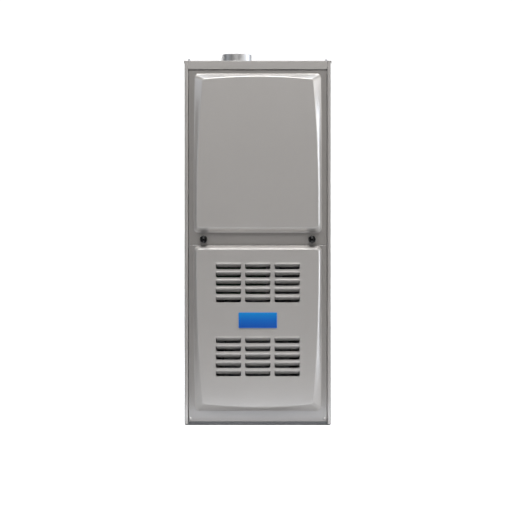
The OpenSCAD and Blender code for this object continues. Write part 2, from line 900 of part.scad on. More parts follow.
module burners() {
    wall = 1.2;
    y = burner_y;
    scale_y = (y[1] - y[0]) / burner_section[len(burner_section) - 1][1];
    outer = [for (p = burner_section) [p[0], p[1] * scale_y]];
    color(inner_steel) {
        for (x = tube_xs)
            translate([x, y[0], burner_z])
                rotate([-90, 0, 0])
                    rotate_extrude() polygon(concat(outer, [for (p = reversed(outer)) p - [wall, 0]]));
        difference() {
            union() {
                block([-box_hw + sheet, box_hw - sheet], [y[0] + 30, y[0] + 31.5], [box_z[0] + sheet, box_z[1] - sheet]);
                for (i = [1:tubes - 1])
                    block(
                        [tube_xs[i - 1] + 10, tube_xs[i] - 10], [y[1] - 8, y[1] - 2], [burner_z - 4, burner_z + 4]
                    );
            }
            for (x = tube_xs) rod_y([y[0] + 20, y[1] + past], x, burner_z, 10.4);
            for (x = tube_xs) rod_y([y[1] - 12, y[1] + past], x, burner_z, 17.3);
        }
    }
}

valve_x = [-20, 60];
valve_y = [from_front(manifold_y - 28), from_front(manifold_y + 28)];
valve_top = valve_z + 29;
outlet_x = (valve_x[0] + valve_x[1]) / 2;
orifice_y = from_front(manifold_y) + manifold_d / 2;

module manifold() {
    r = manifold_d / 2;
    y = from_front(manifold_y);
    color(dark_steel)
        difference() {
            union() {
                rod_x([-box_hw - 8, box_hw + 8], y, burner_z, r);
                rod_z([valve_top + 10, burner_z], outlet_x, y, r);
                for (x = tube_xs) rod_y([y, orifice_y + 4], x, burner_z, 8);
                for (side = [-1, 1])
                    rod_x([side * (box_hw + 6) - 5, side * (box_hw + 6) + 5], y, burner_z, r + 3.5);
            }
            rod_x([-box_hw, box_hw], y, burner_z, r - 2.8);
            rod_z([valve_top + 10 - past, burner_z], outlet_x, y, r - 2.8);
            for (x = tube_xs) rod_y([y, orifice_y + 4 + past], x, burner_z, 4.9);
        }
}

module orifices() {
    y = orifice_y + 4;
    color(brass)
        for (x = tube_xs)
            difference() {
                union() {
                    translate([x, y, burner_z]) rotate([-90, 0, 0]) cylinder(h = 6, r = 7.4, $fn = 6);
                    rod_y([y - 8, y + 1], x, burner_z, 4.8);
                    translate([x, y + 6, burner_z]) rotate([-90, 0, 0]) cylinder(h = 5, r1 = 5, r2 = 3);
                }
                rod_y([y - 10, y + 14], x, burner_z, 1.1);
            }
}

valve_knob_x = valve_x[0] + 22;
valve_port_x = valve_x[0] - 14;

module gas_valve() {
    y = from_front(manifold_y);
    color(inner_steel)
        difference() {
            union() {
                block(valve_x, valve_y, [valve_z - 29, valve_top]);
                rod_z([valve_top - 1, valve_top + 10], outlet_x, y, 15);
                rod_x([valve_port_x, valve_x[0] + 1], y, valve_z, 16);
                rod_x([valve_x[1] - 1, valve_x[1] + 32], y, valve_z, 22);
                rod_z([valve_top - 1, valve_top + 8], valve_x[1] - 12, y - 16, 8);
                block([valve_x[1] - 34, valve_x[1] - 6], [valve_y[0] - 9, valve_y[0] + 1], [valve_z - 14, valve_z + 14]);
            }
            rod_x([valve_port_x - past, valve_port_x + 16], y, valve_z, gas_port_d / 2);
            rod_z([valve_top + 4, valve_top + 10 + past], outlet_x, y, manifold_d / 2 - 2.8);
            rod_y([valve_y[0] - past, valve_y[0] + 10], valve_knob_x, valve_z, 3 + run_fit);
        }
}

module gas_valve_knob() {
    y = valve_y[0] - seat;
    color(black)
        union() {
            turned_y(valve_knob_x, y, valve_z)
                polygon([[0, 0], [14, 0], [14.5, 0.8], [13.6, 8], [12.6, 9], [0, 9]]);
            rod_y([y - 1, y + 9], valve_knob_x, valve_z, 3);
            block([valve_knob_x - 2.2, valve_knob_x + 2.2], [y - 13, y - 8], [valve_z - 12, valve_z + 12]);
        }
}

sensor_y = part_y - 12;

module ignitor() {
    x = tube_xs[tubes - 1];
    color(porcelain)
        union() {
            block([x - 10, x + 10], [sensor_y - 8, sensor_y + 8], [box_z[0] - 5, box_z[0]]);
            block([x - 7, x + 7], [sensor_y - 5, sensor_y + 5], [box_z[0] - 30, box_z[0] - 4]);
            block([x - 2.5, x + 2.5], [sensor_y - 1, sensor_y + 1], [box_z[0] - 5, burner_z + 4]);
        }
}

module flame_sensor() {
    x = tube_xs[0];
    color(inner_steel)
        union() {
            block([x - 12, x + 9], [sensor_y - 8, sensor_y + 8], [box_z[0] - 1.2, box_z[0]]);
            rod_z([box_z[0] - 24, box_z[0] + 14], x, sensor_y, 4.5);
            rod_z([box_z[0] - 34, burner_z + 2], x, sensor_y, 1.5);
        }
}

rollout_x = box_hw - 22;
rollout_y = from_front(140);
rollout_top = box_z[1] + 13;
button_r = 2.4;
button_travel = 1.5;

module rollout_switches() {
    color(black)
        for (side = [-1, 1])
            difference() {
                union() {
                    rod_z([box_z[1], box_z[1] + 9], side * rollout_x, rollout_y, 9);
                    rod_z([box_z[1] + 8, rollout_top], side * rollout_x, rollout_y, 4.5);
                    block(
                        [side * rollout_x - 14, side * rollout_x + 14], [rollout_y - 7, rollout_y + 7],
                        [box_z[1], box_z[1] + 1.2]
                    );
                }
                rod_z([rollout_top - 7, rollout_top + past], side * rollout_x, rollout_y, button_r + run_fit);
            }
}

module reset_button(side) {
    color([0.75, 0.1, 0.1])
        union() {
            rod_z([rollout_top - 5, rollout_top + 2], side * rollout_x, rollout_y, button_r);
            rod_z([rollout_top + 1.8, rollout_top + 3.4], side * rollout_x, rollout_y, button_r + 1);
        }
}

module left_reset_button() {
    reset_button(-1);
}

module right_reset_button() {
    reset_button(1);
}

module limit_switch() {
    color(black)
        union() {
            block([limit_x - 18, limit_x + 18], [part_y - 2, part_y], [limit_z - 22, limit_z + 22]);
            rod_y([part_y - 14, part_y + 22], limit_x, limit_z, limit_r);
            for (dx = [-5, 5]) block([limit_x + dx - 0.4, limit_x + dx + 0.4], [part_y - 24, part_y - 13], [limit_z - 3, limit_z + 3]);
        }
}

// ---- inducer ----

// A scroll round the origin from its cut-off, with a straight neck up to top. The flow turns anticlockwise.
function scroll(r0, r1, from, top, steps = 24) =
    concat(
        [[r0 * cos(from), top]],
        [
            for (k = [0:steps])
                let (g = mix(from, 360, k / steps)) mix(r0, r1, k / steps) * [cos(g), sin(g)]
        ],
        [[r1, top]]
    );

inducer_y = [collector_y - inducer_w, collector_y];
inducer_r0 = inducer_wheel_d / 2 + 8;
inducer_r1 = inducer_x + vent_x + 32;
inducer_shaft_r = inducer_shaft_d / 2;
tap_x = inducer_x + 60;
tap_y = (inducer_y[0] + inducer_y[1]) / 2;
tap_top = inducer_z + 46;

module at_inducer() {
    translate([inducer_x, 0, inducer_z]) mirror([1, 0, 0]) children();
}

module inducer_housing() {
    path = scroll(inducer_r0, inducer_r1, cutoff_angle, neck_top - inducer_z, 20);
    color(dark_steel)
        difference() {
            union() {
                at_inducer() along_y(inducer_y) polygon(strip(path, 1.5));
                at_inducer() along_y([inducer_y[0], inducer_y[0] + 1.5]) polygon(shifted(path, rim));
                at_inducer() along_y([inducer_y[1] - 1.5, inducer_y[1]]) polygon(shifted(path, rim));
                rod_z([inducer_z + 20, tap_top], tap_x, tap_y, 3);
            }
            rod_y([inducer_y[0] - past, inducer_y[0] + past], inducer_x, inducer_z, 16);
            rod_y([inducer_y[1] - past, inducer_y[1] + past], inducer_x, inducer_z, inlet_r);
            rod_z([inducer_z + 18, tap_top + past], tap_x, tap_y, 1.5);
        }
}

module inducer_wheel() {
    r = inducer_wheel_d / 2;
    y = [inducer_y[0] + 10, inducer_y[1] - 10];
    count = 24;
    color(dark_steel)
        translate([inducer_x, 0, inducer_z])
            difference() {
                union() {
                    rod_y([y[0], y[0] + 1.5], 0, 0, r);
                    rod_y([y[0], y[0] + 16], 0, 0, 9);
                    along_y([y[0] + 1, y[1]])
                        for (i = [0:count - 1])
                            rotate(360 / count * i)
                                translate([r - 15, -0.6]) square([14.4, 1.2]);
                    difference() {
                        rod_y([y[1] - 1.5, y[1]], 0, 0, r);
                        rod_y([y[1] - past, y[1] + past], 0, 0, r - 14);
                    }
                }
                rod_y([y[0] - past, y[1]], 0, 0, inducer_shaft_r);
            }
}

inducer_motor_y = [inducer_y[0] - 46, inducer_y[0]];
fan_y = [inducer_motor_y[0] - 13, inducer_motor_y[0] - 3];

module inducer_shaft() {
    color(galvanised)
        rod_y([fan_y[0] - 2, inducer_y[0] + 27], inducer_x, inducer_z, inducer_shaft_r);
}

module inducer_motor() {
    y = inducer_motor_y;
    color(black)
        translate([inducer_x, 0, inducer_z])
            difference() {
                union() {
                    block([-34, 34], [y[0] + 12, y[1] - 12], [-30, 30]);
                    rod_y([y[0], y[0] + 13], 0, 0, 22);
                    rod_y([y[1] - 13, y[1] - 1.5], 0, 0, 22);
                    rod_y([y[1] - 3, y[1]], 0, 0, 28);
                }
                rod_y([y[0] - past, y[1] + past], 0, 0, inducer_shaft_r + run_fit);
            }
}

module cooling_fan() {
    blades = 8;
    color(black)
        translate([inducer_x, 0, inducer_z])
            difference() {
                union() {
                    rod_y(fan_y, 0, 0, 9);
                    rod_y([fan_y[1] - 2, fan_y[1] - 0.8], 0, 0, 27);
                    for (i = [0:blades - 1])
                        rotate([0, 360 / blades * i, 0]) block([8, 26], [fan_y[0] + 1, fan_y[1] - 1.5], [-0.6, 0.6]);
                }
                rod_y(fan_y + [-past, past], 0, 0, inducer_shaft_r);
            }
}

pressure_x = inner_hw - 32;
pressure_y = tap_y;
pressure_z = inducer_z - 6;
nipple_top = pressure_z + 40;

module pressure_switch() {
    color(black)
        union() {
            rod_y([pressure_y - 11, pressure_y + 11], pressure_x, pressure_z, 27);
            rod_y([pressure_y - 15, pressure_y + 15], pressure_x, pressure_z, 21);
            rod_z([pressure_z + 20, nipple_top], pressure_x, pressure_y, 3);
            block([pressure_x, inner_hw], [pressure_y + 8, pressure_y + 10], [pressure_z - 20, pressure_z + 20]);
            block([inner_hw - 2, inner_hw], [pressure_y + 8, pressure_y + 26], [pressure_z - 20, pressure_z + 20]);
        }
}

hose_r = 4.6;

module pressure_hose() {
    base_z = tap_top;
    reach = pressure_x - tap_x;
    bore = 3 + run_fit;
    color([0.55, 0.1, 0.08])
        difference() {
            union() {
                rod_z([base_z - 8, base_z + 1], tap_x, tap_y, hose_r);
                rod_z([nipple_top - 9, base_z + 1], pressure_x, tap_y, hose_r);
                translate([tap_x + reach / 2, tap_y, base_z + 1])
                    rotate([90, 0, 0]) rotate_extrude(angle = 180) translate([reach / 2, 0]) circle(r = hose_r);
            }
            rod_z([base_z - 9 - past, base_z + 0.2], tap_x, tap_y, bore);
            rod_z([nipple_top - 9 - past, nipple_top + 0.2], pressure_x, tap_y, bore);
        }
}

// ---- blower ----

wheel_hw = wheel_w / 2;
housing_hw = housing_w / 2;
blower_inlet_r = wheel_d / 2 - 19;
rim = 5;

module at_blower() {
    translate([0, blower_axis[0], blower_axis[1]]) children();
}

scroll_path = scroll(cutoff_r, outlet_r, cutoff_angle, deck_z - seat - blower_z);
neck_y = [blower_axis[0] + cutoff_r * cos(cutoff_angle), blower_axis[0] + outlet_r];

module blower_scroll() {
    color(galvanised)
        at_blower() along_x([sheet - housing_hw, housing_hw - sheet]) polygon(strip(scroll_path));
}

// A side plate, with a bell-mouthed inlet and a lip to hang it by.
module side_plate() {
    bell_r = housing_hw - wheel_hw - 2;
    bell = [for (g = [0:15:90]) [blower_inlet_r + bell_r * (1 - cos(g)), bell_r * (1 - sin(g))]];
    at_blower() {
        along_x([housing_hw - sheet, housing_hw])
            difference() {
                polygon(shifted(scroll_path, rim));
                circle(r = blower_inlet_r + bell_r - 0.5);
            }
        translate([housing_hw, 0, 0]) rotate([0, -90, 0]) rotate_extrude() polygon(strip(bell));
    }
    block([housing_hw - sheet, housing_hw + 10], neck_y, [flange_z, flange_z + sheet]);
}

module blower_side_plates() {
    color(galvanised) {
        side_plate();
        mirror([1, 0, 0]) side_plate();
    }
}

module blower_rails() {
    y = neck_y + [-10, 10];
    x = housing_hw + 12;
    path = [[x + 10, deck_z - sheet], [x, deck_z - sheet], [x, flange_z - sheet], [x - 8, flange_z - sheet]];
    section = strip(path);
    color(inner_steel)
        for (side = [-1, 1])
            along_y(y) polygon([for (p = section) [side * p[0], p[1]]]);
}

wheel_r = wheel_d / 2;
vane_foot_r = wheel_r - 22;
end_ring = 6;
disc_x = 6;

module blower_wheel() {
    color(galvanised)
        at_blower()
            difference() {
                union() {
                    for (side = [-1, 1])
                        difference() {
                            rod_x([side * (wheel_hw - end_ring / 2) - end_ring / 2, side * (wheel_hw - end_ring / 2) + end_ring / 2], 0, 0, wheel_r);
                            rod_x([-wheel_hw - past, wheel_hw + past], 0, 0, vane_foot_r + 2);
                        }
                    rod_x([disc_x, disc_x + 1.5], 0, 0, vane_foot_r);
                    rod_x([disc_x - 16, disc_x + 16], 0, 0, 16);
                }
                rod_x([disc_x - 20, disc_x + 20], 0, 0, shaft_d / 2);
            }
}

// Forward-curved vanes between the end rings; the centre disc meets their feet.
module blower_vanes() {
    steps = 4;
    blade = strip(
        [
            for (k = [0:steps])
                let (s = k / steps, g = 14 * s * s) mix(vane_foot_r, wheel_r - 0.6, s) * [cos(g), sin(g)]
        ],
        0.8
    );
    color(galvanised)
        at_blower()
            along_x([end_ring - wheel_hw, wheel_hw - end_ring])
                for (i = [0:vanes - 1]) rotate(360 / vanes * i) polygon(blade);
}

motor_x = [-motor_l - 18, -18];

module blower_shaft() {
    color(inner_steel)
        at_blower() rod_x([motor_x[0] - 4, 24], 0, 0, shaft_d / 2);
}

module blower_motor() {
    r = motor_d / 2;
    x = motor_x;
    color(dark_steel)
        at_blower()
            difference() {
                union() {
                    rod_x([x[0] + 12, x[1] - 12], 0, 0, r);
                    translate([x[1] - 12, 0, 0]) rotate([0, 90, 0]) cylinder(h = 9, r1 = r - 2, r2 = r - 22);
                    translate([x[0] + 12, 0, 0]) rotate([0, -90, 0]) cylinder(h = 9, r1 = r - 2, r2 = r - 22);
                    rod_x([x[0] + 2, x[1]], 0, 0, 18);
                }
                rod_x(x + [-past, past], 0, 0, shaft_d / 2 + run_fit);
            }
}

module motor_mount() {
    r = motor_d / 2;
    band_x = [-housing_hw - 22, -housing_hw - 2];
    arm_x = -housing_hw - 11;
    foot_r = blower_inlet_r + 22;
    color(galvanised)
        at_blower()
            union() {
                difference() {
                    rod_x(band_x, 0, 0, r + 1.8);
                    rod_x(band_x + [-past, past], 0, 0, r + seat);
                }
                for (g = [90, 210, 330])
                    rotate([g, 0, 0]) {
                        rod_z([r + 1, foot_r], arm_x, 0, 3.5);
                        rod_x([arm_x, -housing_hw], 0, foot_r, 3.5);
                        rod_x([-housing_hw - 2, -housing_hw], 0, foot_r, 9);
                    }
            }
}

module run_capacitor() {
    r = capacitor_d / 2;
    y = [blower_axis[0] + 20, blower_axis[0] + 20 + capacitor_l];
    band = y[0] + 0.4 * capacitor_l;
    z = blower_z + 160;
    x = housing_hw + 1 + r;
    color([0.75, 0.75, 0.77])
        union() {
            rod_y(y, x, z, r);
            rod_y([y[0] - 4, y[0] + 1], x, z, r - 3);
            for (dz = [-8, 8]) block([x - 3, x + 3], [y[0] - 12, y[0] - 3], [z + dz - 0.4, z + dz + 0.4]);
            rod_y([band, band + 12], x, z, r + 1);
            block([housing_hw, housing_hw + 1], [band, band + 12], [z - r - 12, z + r + 12]);
        }
}

// ---- controls ----

tray_x = [-tray_left, tray_w - tray_left];
tray_y = from_front(tray_d);
tray_z = [deck_z - tray_h, deck_z];
board_y = tray_y - board_gap;
board_edge = 10;

module control_tray() {
    color(galvanised)
        union() {
            block(tray_x, [tray_y, tray_y + sheet], tray_z);
            block(tray_x, [tray_y, tray_y + 20], [tray_z[1] - sheet, tray_z[1]]);
            block(tray_x, [tray_y, tray_y + 10], [tray_z[0], tray_z[0] + sheet]);
        }
}

board_x = [tray_x[0] + board_edge, tray_x[0] + board_edge + board_w];
board_z = [tray_z[0] + board_edge + 2, tray_z[0] + board_edge + 2 + board_h];

// The board, on its four posts, with relays, a plug, fuses, a coil and a row of tabs on its face.
module control_board() {
    y = [board_y - 1.6, board_y];
    front = y[0];
    left = board_x[0];
    right = board_x[1];
    foot = board_z[0];
    top = board_z[1];
    color(board_green)
        union() {
            block(board_x, y, board_z);
            for (x = board_x + [8, -8], z = board_z + [8, -8]) rod_y([board_y - 1, tray_y], x, z, 3);
            for (i = [0:2]) block(span(left + 30 * i, 12, 34), [front - 16, front + 0.5], span(top, -38, -12));
            block(span(right, -50, -10), [front - 12, front + 0.5], span(top, -30, -10));
            for (i = [0:4]) rod_y([front - 9, front + 0.5], left + 18 + 14 * i, foot + 18, 5);
            block(span(right, -66, -46), [front - 4, front + 0.5], span(foot, 28, 48));
            block(span(right, -38, -8), [front - 14, front + 0.5], span(foot, 12, 60));
            for (i = [0:6]) block(span(left + 11 * i, 12, 16), [front - 11, front + 0.5], span(foot, 54, 62));
        }
}

module transformer() {
    x = [tray_x[1] - 18 - core_w, tray_x[1] - 18];
    z = [deck_z - 36 - core_h, deck_z - 36];
    y = [tray_y - core_d, tray_y];
    color(dark_steel)
        union() {
            block(x, y + [8, -8], z);
            block(x + [8, -8], y + [0, -1], z + [10, -10]);
            block(x + [-6, 6], [y[1] - 1.5, y[1]], z + [8, -8]);
            block(x, span(y[1], -9, -1), z + [8, -8]);
        }
}

switch_body_y = rail_y + 5;
plunger_r = 2.5;
plunger_x = (striker_x[0] + striker_x[1]) / 2;
plunger_stroke = 5;

module door_switch() {
    color(black)
        difference() {
            union() {
                block(striker_x, [switch_body_y, switch_body_y + 30], [switch_z - 11, rail_z[0]]);
                for (i = [-1, 1])
                    block(
                        [plunger_x + 6 * i - 0.4, plunger_x + 6 * i + 0.4], [switch_body_y + 29, switch_body_y + 38],
                        [switch_z - 3, switch_z + 3]
                    );
            }
            rod_y([switch_body_y - past, switch_body_y + 18], plunger_x, switch_z, plunger_r + run_fit);
        }
}

module door_switch_plunger() {
    color([0.85, 0.85, 0.85])
        union() {
            rod_y([door_back + seat, switch_body_y + 15], plunger_x, switch_z, plunger_r);
            rod_y([door_back + seat, door_back + seat + 1.5], plunger_x, switch_z, plunger_r + 1);
        }
}

module junction_box() {
    x = [-inner_hw, -inner_hw + junction_w];
    y = span(from_front(junction_y), 0, junction_h);
    z = span(conduit_z, -junction_h / 2, junction_h / 2);
    color(galvanised)
        difference() {
            block(x, y, z);
            block(x + [sheet, -sheet], y + [sheet, -sheet], z + [sheet, -sheet]);
            rod_x([x[0] - past, x[0] + past], conduit_y, conduit_z, conduit_hole_d / 2);
            rod_y([y[1] - past, y[1] + past], x[0] + junction_w / 2, conduit_z, 8);
        }
}

// ---- small fasteners ----

module panel_screws() {
    color(galvanised)
        for (p = screw_places) {
            seat_y = part_y - (abs(p[0]) < collector_hw + collector_flange ? sheet : 0);
            rod_y([seat_y - 0.8, seat_y], p[0], p[1], 4.2);
            translate([p[0], seat_y - 0.7, p[1]]) rotate([90, 0, 0]) cylinder(h = 2.6, r = 3.4, $fn = 6);
            rod_y([seat_y - 0.5, part_y + 4], p[0], p[1], screw_r);
        }
}

module hole_plug() {
    r = gas_hole_d / 2;
    color(black)
        translate([cab_hw, gas_hole_y, valve_z])
            rotate([0, 90, 0])
                rotate_extrude()
                    polygon([
                        [0, 0.9], [r + 2.4, 0.9], [r + 3, 0], [r - seat, 0], [r - seat, -3], [r - 2, -4], [r - 2.6, -0.4],
                        [0, -0.4]
                    ]);
}

left_side();
right_side();
back_panel();
top_panel();
header_rail();
duct_flanges();
base_pan();
centre_rail();
blower_deck();
vestibule_panel();
casing_liner();
upper_door();
door_liner();
left_knob();
right_knob();
lower_door();
badge_plate();
door_screws();
vent_collar();
vent_pipe();
heat_tubes();
return_bends();
tube_support();
collector_box();
burner_box();
burners();
manifold();
orifices();
gas_valve();
gas_valve_knob();
ignitor();
flame_sensor();
rollout_switches();
left_reset_button();
right_reset_button();
limit_switch();
inducer_housing();
inducer_wheel();
inducer_shaft();
inducer_motor();
cooling_fan();
pressure_switch();
pressure_hose();
blower_scroll();
blower_side_plates();
blower_wheel();
blower_vanes();
blower_shaft();
blower_motor();
motor_mount();
run_capacitor();
blower_rails();
control_tray();
control_board();
transformer();
door_switch();
door_switch_plunger();
junction_box();
panel_screws();
hole_plug();
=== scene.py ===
"""Looks of the forced air gas furnace, in metres, in the CAD frame: front facing -Y, floor at z = 0."""

import json
import math

import bmesh
import bpy
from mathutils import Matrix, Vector

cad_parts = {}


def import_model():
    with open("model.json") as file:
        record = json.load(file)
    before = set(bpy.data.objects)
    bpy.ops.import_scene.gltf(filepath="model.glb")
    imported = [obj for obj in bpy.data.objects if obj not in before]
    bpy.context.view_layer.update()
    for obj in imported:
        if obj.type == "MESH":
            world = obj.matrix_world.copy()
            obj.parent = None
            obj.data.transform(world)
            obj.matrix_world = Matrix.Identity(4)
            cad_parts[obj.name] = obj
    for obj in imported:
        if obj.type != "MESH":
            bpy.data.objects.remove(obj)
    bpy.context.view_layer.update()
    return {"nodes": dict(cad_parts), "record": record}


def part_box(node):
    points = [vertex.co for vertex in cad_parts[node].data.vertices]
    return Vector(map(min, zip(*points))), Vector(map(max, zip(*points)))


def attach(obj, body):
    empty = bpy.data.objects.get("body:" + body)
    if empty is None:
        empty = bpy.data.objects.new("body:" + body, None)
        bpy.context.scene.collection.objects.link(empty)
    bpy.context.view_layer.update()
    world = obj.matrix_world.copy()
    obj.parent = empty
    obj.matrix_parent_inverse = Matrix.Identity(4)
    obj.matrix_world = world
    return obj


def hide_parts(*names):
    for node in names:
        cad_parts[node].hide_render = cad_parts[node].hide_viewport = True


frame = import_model()
nodes = frame["nodes"]
slot_of = {row["node"]: row["material_slot"] for row in frame["record"]["subparts"]}


# ---- materials ----


class Tree:
    """The node tree of a material or world, with short ways to add nodes and feed their inputs."""

    def __init__(self, owner, coordinates):
        owner.use_nodes = True
        self.tree = owner.node_tree
        self.coord = self.add("ShaderNodeTexCoord").outputs[coordinates]

    def feed(self, socket, value):
        """Links an output to the socket or sets the socket's value; a colour comes without its alpha."""
        if hasattr(value, "is_output"):
            self.tree.links.new(value, socket)
        elif socket.type == "RGBA":
            socket.default_value = (*value, 1.0)
        else:
            socket.default_value = value

    def add(self, kind, inputs=None, **settings):
        node = self.tree.nodes.new(kind)
        for key, value in settings.items():
            setattr(node, key, value)
        for key, value in (inputs or {}).items():
            self.feed(node.inputs[key], value)
        return node

    def axes(self):
        return self.add("ShaderNodeSeparateXYZ", {"Vector": self.coord}).outputs

    def calc(self, operation, *values):
        return self.add("ShaderNodeMath", dict(enumerate(values)), operation=operation).outputs[0]

    def span(self, factor, low, high, start=0.0, end=1.0, **settings):
        """Maps the factor from start..end to low..high and holds it there."""
        ends = {"Value": factor, "From Min": start, "From Max": end, "To Min": low, "To Max": high}
        return self.add("ShaderNodeMapRange", ends, **settings).outputs["Result"]

    def camera_ray(self):
        return self.add("ShaderNodeLightPath").outputs["Is Camera Ray"]


class Shader(Tree):
    """A material with short ways to add textures and wire them to its surface."""

    def __init__(self, name, **surface):
        self.mat = bpy.data.materials.new(name)
        super().__init__(self.mat, "Object")
        self.surface = self.tree.nodes["Principled BSDF"]
        self.set(**surface)

    def set(self, **sockets):
        for key, value in sockets.items():
            self.feed(self.surface.inputs[key.replace("_", " ")], value)

    def noise(self, scale, detail=3.0, stretch=None):
        place = self.coord
        if stretch:
            place = self.add("ShaderNodeMapping", {"Scale": stretch, "Vector": place}).outputs["Vector"]
        inputs = {"Scale": scale, "Detail": detail, "Vector": place}
        return self.add("ShaderNodeTexNoise", inputs).outputs["Fac"]

    def cells(self, scale, output):
        return self.add("ShaderNodeTexVoronoi", {"Scale": scale, "Vector": self.coord}).outputs[output]

    def ramp(self, factor, stops):
        node = self.add("ShaderNodeValToRGB", {"Fac": factor})
        while len(node.color_ramp.elements) < len(stops):
            node.color_ramp.elements.new(0.5)
        for element, (place, colour) in zip(node.color_ramp.elements, stops):
            element.position = place
            element.color = (*colour, 1.0)
        return node.outputs["Color"]

    def mix(self, factor, a, b, blend="MIX"):
        node = self.add("ShaderNodeMix", data_type="RGBA", blend_type=blend)
        for socket, value in zip([s for s in node.inputs if s.enabled], (factor, a, b)):
            self.feed(socket, value)
        return next(s for s in node.outputs if s.enabled)

    def bump(self, height, strength, distance):
        node = self.add("ShaderNodeBump", {"Height": height, "Strength": strength, "Distance": distance})
        self.set(Normal=node.outputs["Normal"])

    def border(self, *sides):
        """0 in a rectangle, 1 outside; a side is an axis, its ends, and where it turns, in half widths."""
        place, turns = self.axes(), []
        for axis, low, high, start, end in sides:
            off = self.calc("ABSOLUTE", self.span(place[axis], -1.0, 1.0, low, high))
            turns.append(self.span(off, 0.0, 1.0, start, end))
        return self.calc("MAXIMUM", *turns)


def shades(colour, spread):
    return [tuple(max(0.0, min(1.0, c * k)) for c in colour) for k in (1 - spread, 1 + spread)]


def speckled(name, colour, spread, scale, rough, bump=0.0, depth=0.0001, metallic=0.0, **surface):
    """A material whose colour and roughness wander a little, with a fine grain."""
    s = Shader(name, Metallic=metallic, **surface)
    grain = s.noise(scale, 4.0)
    dark, light = shades(colour, spread)
    s.set(Base_Color=s.ramp(grain, [(0.3, dark), (0.7, light)]))
    s.set(Roughness=s.span(s.noise(scale * 0.06, 3.0), rough * 0.85, rough * 1.2, 0.3, 0.7))
    if bump:
        s.bump(grain, bump, depth)
    return s


def paint(name, colour, rough, metallic, depth=None):
    """Sprayed coating: fine flakes, slight orange peel, a clear top; behind a depth its colour is darkened,
    painted shade for a recess.
    """
    s = Shader(name, Metallic=metallic, Coat_Weight=0.3, Coat_Roughness=0.12)
    dark, light = shades(colour, 0.04)
    wander = s.mix(0.7, s.noise(9.0, 3.0), s.noise(1400.0, 2.0))
    tone = s.ramp(wander, [(0.3, dark), (0.7, light)])
    if depth:
        # painted shade: the colour is darkened behind the depth, where a recess lies in shade
        recess_shade = s.span(s.axes()["Y"], 0.0, 1.0, depth - 0.001, depth)
        tone = s.mix(recess_shade, tone, (0.66, 0.655, 0.65), "MULTIPLY")
    s.set(Base_Color=tone)
    s.set(Roughness=s.span(s.noise(30.0, 3.0), rough - 0.01, rough + 0.01, 0.3, 0.7))
    s.bump(s.noise(420.0, 1.5), 0.06, 0.0002)
    return s


def galvanised(name, colour, rough):
    """Zinc spangle: flat cells of slightly different brightness and gloss."""
    s = Shader(name, Metallic=0.95)
    tint = s.add("ShaderNodeRGBToBW", {"Color": s.cells(90.0, "Color")}).outputs["Val"]
    dark, light = shades(colour, 0.10)
    s.set(Base_Color=s.ramp(tint, [(0.15, dark), (0.85, light)]))
    s.set(Roughness=s.span(tint, rough - 0.07, rough + 0.09))
    s.bump(s.noise(60.0, 3.0), 0.05, 0.0003)
    return s


def brushed(name, colour, rough, stretch):
    """Drawn or brushed metal, with streaks along the axis whose stretch is the smallest number."""
    s = Shader(name, Metallic=1.0)
    streaks = s.noise(50.0, 4.0, stretch)
    dark, light = shades(colour, 0.08)
    s.set(Base_Color=s.ramp(streaks, [(0.3, dark), (0.7, light)]))
    s.set(Roughness=s.span(streaks, rough - 0.06, rough + 0.08))
    s.bump(streaks, 0.08, 0.00005)
    return s


def plate_face():
    """Blue enamel that darkens downwards, with a paler rim."""
    s = Shader("plate_blue", Roughness=0.34, Coat_Weight=0.1, Specular_IOR_Level=0.25)
    low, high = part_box("badge_plate")
    up = s.span(s.axes()["Z"], 0.0, 1.0, low.z, high.z)
    blues = (0.001, 0.040, 0.245), (0.001, 0.075, 0.31), (0.004, 0.150, 0.385)
    enamel = s.ramp(up, list(zip((0.0, 0.5, 1.0), blues)))
    grain = s.noise(300.0, 2.0)
    face = s.mix(s.span(grain, 0.0, 0.10), enamel, (0.01, 0.16, 0.42))
    rim = []
    for axis, a, b in (("X", low.x, high.x), ("Z", low.z, high.z)):
        rim.append((axis, a, b, 1 - 0.0022 / (b - a), 1 - 0.0012 / (b - a)))
    s.set(Base_Color=s.mix(s.border(*rim), face, (0.10, 0.23, 0.48)))
    s.bump(grain, 0.02, 0.00005)
    return s


def circuit_board():
    """Green lacquer with the faint rows of its tracks, kept far darker than its own green as painted shade
    inside the cabinet.
    """
    s = Shader("circuit_board", Roughness=0.45)
    upright = s.add("ShaderNodeMapping", {"Rotation": (math.pi / 2, 0.0, 0.0), "Vector": s.coord})
    tracks = {
        "Vector": upright.outputs["Vector"],
        "Scale": 90.0,
        "Mortar Size": 0.03,
        "Color1": (0.004, 0.028, 0.011),
        "Color2": (0.005, 0.034, 0.013),
        "Mortar": (0.010, 0.06, 0.022),
    }
    s.set(Base_Color=s.add("ShaderNodeTexBrick", tracks).outputs["Color"])
    return s


def foil():
    """Crinkled foil facing."""
    s = Shader("foil", Metallic=0.9)
    s.set(Base_Color=s.ramp(s.noise(80.0), [(0.3, (0.60, 0.61, 0.62)), (0.7, (0.74, 0.75, 0.76))]))
    s.set(Roughness=s.span(s.noise(200.0), 0.25, 0.45))
    s.bump(s.cells(45.0, "Distance"), 0.35, 0.001)
    return s


def heated_tube():
    """Aluminised steel, tinted where the flame heats it."""
    s = Shader("tube_steel", Metallic=0.9)
    clean = s.ramp(s.noise(140.0, 4.0), [(0.3, (0.40, 0.40, 0.41)), (0.7, (0.52, 0.52, 0.53))])
    heat = s.span(s.axes()["Z"], 0.55, 0.0, 0.50, 0.66)
    s.set(Base_Color=s.mix(heat, clean, (0.30, 0.20, 0.13)))
    s.set(Roughness=s.span(s.noise(40.0), 0.38, 0.55))
    s.bump(s.noise(500.0, 2.0), 0.08, 0.0001)
    return s


def tinted(k):
    return [k * c for c in PAINT]


PAINT = (0.350, 0.332, 0.315)
BLACK = (0.012, 0.012, 0.013)
